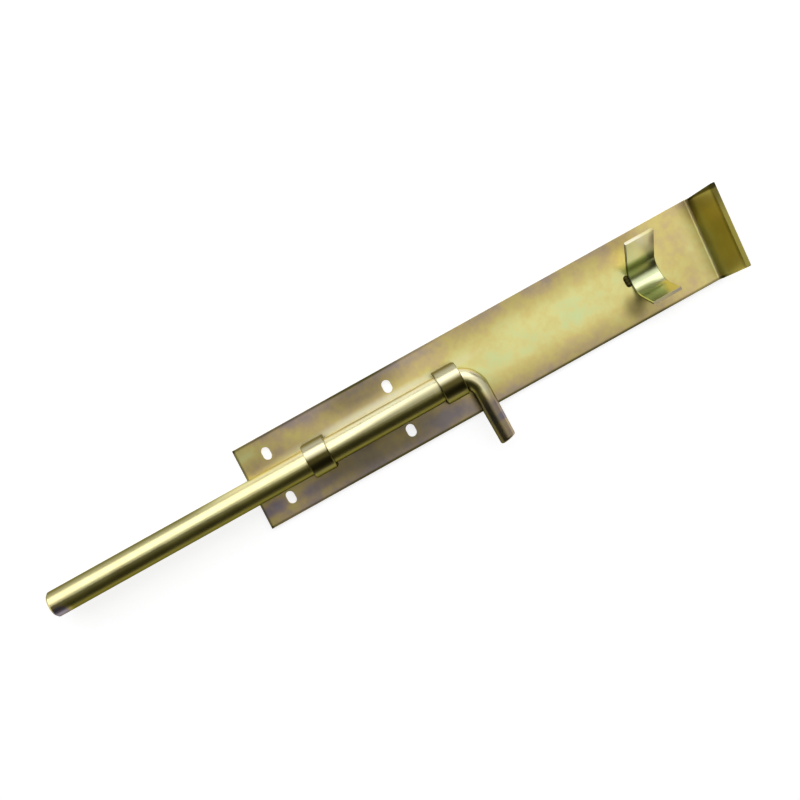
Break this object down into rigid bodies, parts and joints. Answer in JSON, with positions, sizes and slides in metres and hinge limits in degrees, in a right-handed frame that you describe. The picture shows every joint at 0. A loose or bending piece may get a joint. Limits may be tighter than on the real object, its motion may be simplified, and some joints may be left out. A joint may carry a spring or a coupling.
{
  "type": "door bolt",
  "caption": "Sliding door bolt: a round rod with a bent handle runs in strap saddles on a long slotted back plate with a rear flange and an open cradle that catches the drawn-back rod.",
  "frame": {"origin": "centre of the four fixing slots, on the plate's back face", "axes": "+Z out of the door through the plate, +Y along the plate from the nose towards the flange, the way the rod is drawn back, +X the way the handle points"},
  "size_m": [0.0744, 0.4509, 0.032],
  "materials": {
    "plated_sheet": "yellow chromated zinc plating on steel sheet, satin, slightly iridescent",
    "plated_strap": "yellow chromated zinc plating on steel strap, satin",
    "plated_bar": "yellow chromated zinc plating on round steel bar, glossy"
  },
  "bodies": {
    "plate": {"back_plate": "plated_sheet", "front_saddle": "plated_strap", "rear_saddle": "plated_strap", "catch_cradle": "plated_strap"},
    "rod": {"bolt_rod": "plated_bar"}
  },
  "joints": [
    {"name": "bolt_slide", "type": "slide", "parent": "plate", "child": "rod", "axis": [0, 1, 0], "range_m": [0, 0.103]}
  ]
}
